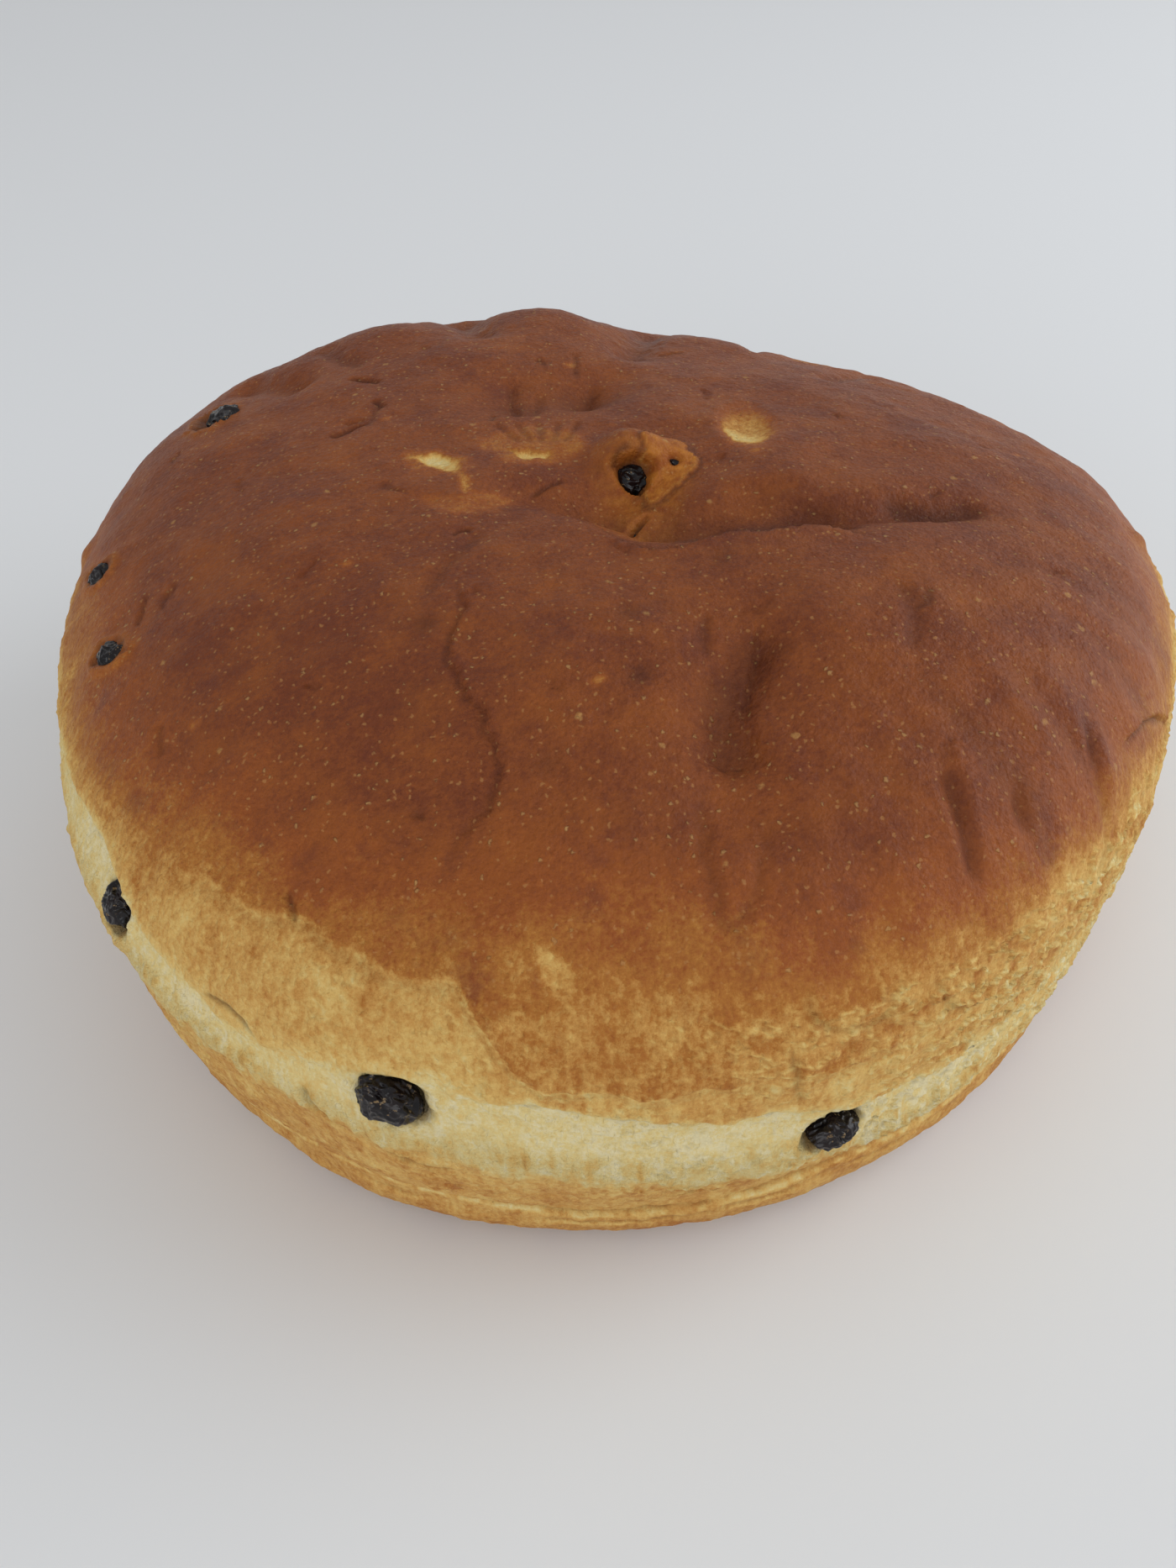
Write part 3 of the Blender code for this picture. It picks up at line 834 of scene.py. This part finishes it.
class Nodes:
    """A material's node tree, with short calls for the nodes used here."""

    def __init__(self, name):
        self.material = bpy.data.materials.new(name)
        self.material.use_nodes = True
        self.tree = self.material.node_tree
        self.shader = self.tree.nodes["Principled BSDF"]
        self.place = self.tree.nodes.new("ShaderNodeTexCoord").outputs["Object"]
        self.shaken = self.shaken_place(0.0010, 0.0012)

    def link(self, source, target):
        self.tree.links.new(source, target)

    def put(self, value, socket):
        if isinstance(value, bpy.types.NodeSocket):
            self.link(value, socket)
        else:
            socket.default_value = value

    def shaken_place(self, spacing, amount):
        """Object coordinates moved about a little, which makes round specks irregular."""
        wander = self.tree.nodes.new("ShaderNodeTexNoise")
        wander.inputs["Scale"].default_value = 1 / spacing
        self.link(self.place, wander.inputs["Vector"])
        move = self.tree.nodes.new("ShaderNodeVectorMath")
        move.operation = "MULTIPLY_ADD"
        self.link(wander.outputs["Color"], move.inputs[0])
        move.inputs[1].default_value = (amount, amount, amount)
        self.link(self.place, move.inputs[2])
        return move.outputs["Vector"]

    def attribute(self, name):
        node = self.tree.nodes.new("ShaderNodeAttribute")
        node.attribute_name = name
        return node.outputs["Fac"]

    def math(self, operation, first, second, clamp=False):
        node = self.tree.nodes.new("ShaderNodeMath")
        node.operation = operation
        node.use_clamp = clamp
        self.put(first, node.inputs[0])
        self.put(second, node.inputs[1])
        return node.outputs[0]

    def noise(self, spacing, detail=2.0, roughness=0.5, place=None):
        """Noise from 0 to 1, with features about a spacing (in metres) apart."""
        node = self.tree.nodes.new("ShaderNodeTexNoise")
        node.inputs["Scale"].default_value = 1 / spacing
        node.inputs["Detail"].default_value = detail
        node.inputs["Roughness"].default_value = roughness
        self.link(place or self.place, node.inputs["Vector"])
        return node.outputs["Fac"]

    def tall_noise(self, spacing, stretch):
        """Noise drawn out upwards, for a grain that runs down the sides."""
        squash = self.tree.nodes.new("ShaderNodeVectorMath")
        squash.operation = "MULTIPLY"
        self.link(self.shaken, squash.inputs[0])
        squash.inputs[1].default_value = (1, 1, 1 / stretch)
        return self.noise(spacing, 3.0, 0.6, squash.outputs["Vector"])

    def cells(self, spacing):
        """Voronoi cells: the distance to a cell's middle, and the cell's own random number."""
        node = self.tree.nodes.new("ShaderNodeTexVoronoi")
        node.inputs["Scale"].default_value = 1 / spacing
        self.link(self.shaken, node.inputs["Vector"])
        split = self.tree.nodes.new("ShaderNodeSeparateColor")
        self.link(node.outputs["Color"], split.inputs["Color"])
        return node.outputs["Distance"], split.outputs["Red"]

    def remap(self, value, low, high, to_low=0.0, to_high=1.0):
        node = self.tree.nodes.new("ShaderNodeMapRange")
        node.interpolation_type = "SMOOTHSTEP"
        self.put(value, node.inputs["Value"])
        node.inputs["From Min"].default_value = low
        node.inputs["From Max"].default_value = high
        node.inputs["To Min"].default_value = to_low
        node.inputs["To Max"].default_value = to_high
        return node.outputs["Result"]

    def ramp(self, value, *stops):
        node = self.tree.nodes.new("ShaderNodeValToRGB")
        elements = node.color_ramp.elements
        while len(elements) < len(stops):
            elements.new(0.5)
        for element, (position, color) in zip(elements, stops):
            element.position = position
            element.color = (*color, 1)
        self.link(value, node.inputs["Fac"])
        return node.outputs["Color"]

    def mix(self, share, first, second):
        node = self.tree.nodes.new("ShaderNodeMix")
        node.data_type = "RGBA"
        self.put(share, node.inputs["Factor"])
        for value, socket in ((first, node.inputs["A"]), (second, node.inputs["B"])):
            self.put((*value, 1) if isinstance(value, tuple) else value, socket)
        return node.outputs["Result"]

    def bump(self, height, distance):
        node = self.tree.nodes.new("ShaderNodeBump")
        node.inputs["Strength"].default_value = 1.0
        node.inputs["Distance"].default_value = distance
        self.link(height, node.inputs["Height"])
        return node.outputs["Normal"]


def specks(nodes, spacing, radius, share):
    """Small irregular specks on a share of the cells: 1 in a speck's middle."""
    distance, lot = nodes.cells(spacing)
    chosen = nodes.math("LESS_THAN", lot, share)
    return nodes.math("MULTIPLY", nodes.remap(distance, radius, radius * 0.45), chosen)


CRUST_COLORS = (  # by bake, from pale crumb to the darkest crust
    (0.00, (0.77, 0.66, 0.39)),
    (0.12, (0.74, 0.58, 0.25)),
    (0.27, (0.71, 0.46, 0.145)),
    (0.42, (0.59, 0.31, 0.080)),
    (0.57, (0.42, 0.160, 0.027)),
    (0.74, (0.30, 0.078, 0.013)),
    (1.00, (0.165, 0.038, 0.011)),
)
TORN_COLORS = ((0.30, (0.30, 0.075, 0.008)), (0.70, (0.52, 0.19, 0.022)))
BLUSH = (0.31, 0.085, 0.012)  # redder patches on the dark crust
PLUM = (0.125, 0.027, 0.015)  # darker ones
DUST = (0.50, 0.25, 0.08)
SMALL_SPECK = (0.54, 0.31, 0.11)
LARGE_SPECK = (0.50, 0.27, 0.08)
# painted shade, for creases, cracks, pits, raisin seats and the undersides of flaps
CREASE_SHADE = (0.045, 0.012, 0.007)
RAISIN_COLORS = ((0.35, (0.005, 0.004, 0.005)), (0.70, (0.014, 0.008, 0.008)))
# painted shade in the raisin's creases
RAISIN_CREASE_SHADE = (0.004, 0.002, 0.002)
RAISIN_BLOOM = (0.26, 0.17, 0.08)  # tan crumbs and strands that stick to the skin


def crust_material():
    """Colour by bake with streaks, patches and specks, over a fine grain."""
    nodes = Nodes("baked crust")
    bake_value = nodes.attribute("bake")
    dark_crust = nodes.remap(bake_value, 0.50, 0.72)
    mottle = nodes.math("SUBTRACT", nodes.noise(0.0060, 4.0, 0.6), 0.5)
    grain = nodes.math("SUBTRACT", nodes.noise(0.0010, 4.0, 0.75), 0.5)
    drawn = nodes.math("SUBTRACT", nodes.tall_noise(0.0010, 4.5), 0.5)
    varied = nodes.math("ADD", bake_value, nodes.math("MULTIPLY", mottle, 0.26))
    varied = nodes.math("ADD", varied, nodes.math("MULTIPLY", grain, 0.46))
    drawn = nodes.math("MULTIPLY", drawn, nodes.remap(bake_value, 0.85, 0.45, 0.10, 0.34))
    varied = nodes.math("ADD", varied, drawn, clamp=True)
    color = nodes.ramp(varied, *CRUST_COLORS)
    orange = nodes.ramp(nodes.noise(0.0022, 3.0), *TORN_COLORS)
    color = nodes.mix(nodes.math("MULTIPLY", nodes.attribute("torn"), 0.85), color, orange)
    blush = nodes.remap(nodes.noise(0.013, 5.0, 0.7), 0.44, 0.68, 0.0, 0.5)
    color = nodes.mix(nodes.math("MULTIPLY", blush, dark_crust), color, BLUSH)
    plum = nodes.remap(nodes.noise(0.0095, 5.0, 0.7), 0.52, 0.72, 0.0, 0.45)
    color = nodes.mix(nodes.math("MULTIPLY", plum, dark_crust), color, PLUM)
    speckled = nodes.remap(bake_value, 0.45, 0.70, 0.25, 1.0)
    dust = nodes.math("MULTIPLY", specks(nodes, 0.0012, 0.30, 0.45), speckled)
    small = nodes.math("MULTIPLY", specks(nodes, 0.0024, 0.18, 0.55), dark_crust)
    large = nodes.math("MULTIPLY", specks(nodes, 0.0062, 0.13, 0.40), dark_crust)
    color = nodes.mix(nodes.math("MULTIPLY", dust, 0.42), color, DUST)
    color = nodes.mix(nodes.math("MULTIPLY", small, 0.50), color, SMALL_SPECK)
    color = nodes.mix(nodes.math("MULTIPLY", large, 0.50), color, LARGE_SPECK)
    # painted shade, from the shade attribute
    shaded = nodes.math("MULTIPLY", nodes.attribute("shade"), 0.85)
    color = nodes.mix(shaded, color, CREASE_SHADE)
    nodes.link(color, nodes.shader.inputs["Base Color"])
    nodes.shader.inputs["Specular IOR Level"].default_value = 0.20
    roughness = nodes.remap(bake_value, 0.35, 0.75, 0.75, 0.46)
    roughness = nodes.math("ADD", roughness, nodes.math("MULTIPLY", grain, 0.25))
    nodes.link(roughness, nodes.shader.inputs["Roughness"])
    fibre = nodes.math("MULTIPLY", nodes.noise(0.0007, 3.0, 0.7), nodes.attribute("strands"))
    relief = nodes.math("ADD", nodes.noise(0.0009, 4.0, 0.6), nodes.math("MULTIPLY", fibre, 1.5))
    relief = nodes.math("ADD", relief, nodes.math("MULTIPLY", small, 0.35))
    relief = nodes.math("ADD", relief, nodes.math("MULTIPLY", drawn, 2.5))
    nodes.link(nodes.bump(relief, 0.00060), nodes.shader.inputs["Normal"])
    return nodes.material


def raisin_material():
    """Nearly black skin with painted shade in its creases, glossy in patches, with a few tan crumbs."""
    nodes = Nodes("raisin skin")
    crease = nodes.attribute("crease")
    body = nodes.ramp(nodes.noise(0.0028, 3.0), *RAISIN_COLORS)
    # painted shade in the creases
    color = nodes.mix(nodes.math("MULTIPLY", crease, 0.5), body, RAISIN_CREASE_SHADE)
    bloom = nodes.remap(nodes.noise(0.0011, 4.0, 0.7), 0.60, 0.68, 0.0, 0.85)
    color = nodes.mix(bloom, color, RAISIN_BLOOM)
    nodes.link(color, nodes.shader.inputs["Base Color"])
    nodes.shader.inputs["Specular IOR Level"].default_value = 0.27
    roughness = nodes.remap(nodes.noise(0.0020, 3.0), 0.3, 0.7, 0.10, 0.26)
    nodes.link(roughness, nodes.shader.inputs["Roughness"])
    nodes.link(nodes.bump(nodes.noise(0.0009, 2.0, 0.5), 0.00010), nodes.shader.inputs["Normal"])
    return nodes.material


seat_raisins()
crust = make_crust()
crust.data.materials.append(crust_material())
raisin_skin = raisin_material()
for number, name in enumerate(raisin_names()):
    make_raisin(name, 40 + 8 * number).data.materials.append(raisin_skin)


# ---------------------------------------------------------------- floor, light and camera

FLOOR_SIZE = 8
FLOOR_COLOR = (0.80, 0.81, 0.82)
SKY_COLOR = (0.975, 0.985, 1.0)
SKY_STRENGTH = (0.51, 0.68)  # on the left and on the right
LAMP_SIZE = 1.2  # across


def make_floor():
    """A plain pale floor, in place of the cloth."""
    bpy.ops.mesh.primitive_plane_add(size=FLOOR_SIZE)
    floor = bpy.context.object
    floor.name = "floor"
    nodes = Nodes("pale floor")
    nodes.shader.inputs["Base Color"].default_value = (*FLOOR_COLOR, 1)
    nodes.shader.inputs["Roughness"].default_value = 0.9
    floor.data.materials.append(nodes.material)


def area_light(name, place, aim, power, color):
    """A soft round lamp that faces a place."""
    light = bpy.data.lights.new(name, "AREA")
    light.shape = "DISK"
    light.size = LAMP_SIZE
    light.energy = power
    light.color = color
    obj = bpy.data.objects.new(name, light)
    bpy.context.scene.collection.objects.link(obj)
    obj.location = place
    obj.rotation_euler = (Vector(aim) - Vector(place)).to_track_quat("-Z", "Y").to_euler()


def make_sky():
    """Soft light from all round, brighter on the right, where the windows are."""
    world = bpy.data.worlds.new("soft sky")
    world.use_nodes = True
    tree = world.node_tree
    place = tree.nodes.new("ShaderNodeTexCoord").outputs["Generated"]
    split = tree.nodes.new("ShaderNodeSeparateXYZ")
    tree.links.new(place, split.inputs["Vector"])
    strength = tree.nodes.new("ShaderNodeMapRange")
    tree.links.new(split.outputs["X"], strength.inputs["Value"])
    strength.inputs["From Min"].default_value = -1
    strength.inputs["To Min"].default_value = SKY_STRENGTH[0]
    strength.inputs["To Max"].default_value = SKY_STRENGTH[1]
    background = tree.nodes["Background"]
    background.inputs["Color"].default_value = (*SKY_COLOR, 1)
    tree.links.new(strength.outputs["Result"], background.inputs["Strength"])
    bpy.context.scene.world = world


def make_lamps():
    """A window on the right, and a fill in front."""
    middle = (0, 0, 0.04)
    area_light("window", (1.25, 0.15, 0.50), middle, 9.5, (0.92, 0.96, 1.0))
    area_light("front", (-0.6, -1.4, 0.65), middle, 7.5, (0.95, 0.98, 1.0))


CAMERA_PLACE = Vector((-0.0017, -0.2212, 0.2087))
CAMERA_PITCH = math.radians(41.8)  # below the horizon
CAMERA_YAW = math.radians(-1.04)  # towards +X
CAMERA_ROLL = math.radians(-3.4)
FOCAL_LENGTH = 30.87  # millimetres
SENSOR_LENGTH = 36  # millimetres, along the picture's long side


def make_camera():
    """The photograph's view: turned, then tipped down, then rolled about its own axis."""
    forward = Vector(
        (
            math.sin(CAMERA_YAW) * math.cos(CAMERA_PITCH),
            math.cos(CAMERA_YAW) * math.cos(CAMERA_PITCH),
            -math.sin(CAMERA_PITCH),
        )
    )
    level = Vector((math.cos(CAMERA_YAW), -math.sin(CAMERA_YAW), 0))
    upright = level.cross(forward)
    right = level * math.cos(CAMERA_ROLL) + upright * math.sin(CAMERA_ROLL)
    up = upright * math.cos(CAMERA_ROLL) - level * math.sin(CAMERA_ROLL)
    camera = bpy.data.objects.new("camera", bpy.data.cameras.new("camera"))
    camera.data.lens = FOCAL_LENGTH
    camera.data.sensor_width = SENSOR_LENGTH
    camera.data.sensor_fit = "AUTO"
    camera.data.clip_start = 0.01
    turned = Matrix((right, up, -forward)).transposed().to_4x4()
    camera.matrix_world = Matrix.Translation(CAMERA_PLACE) @ turned
    bpy.context.scene.collection.objects.link(camera)
    bpy.context.scene.camera = camera
    bpy.context.scene.view_settings.view_transform = "Standard"


make_floor()
make_sky()
make_lamps()
make_camera()
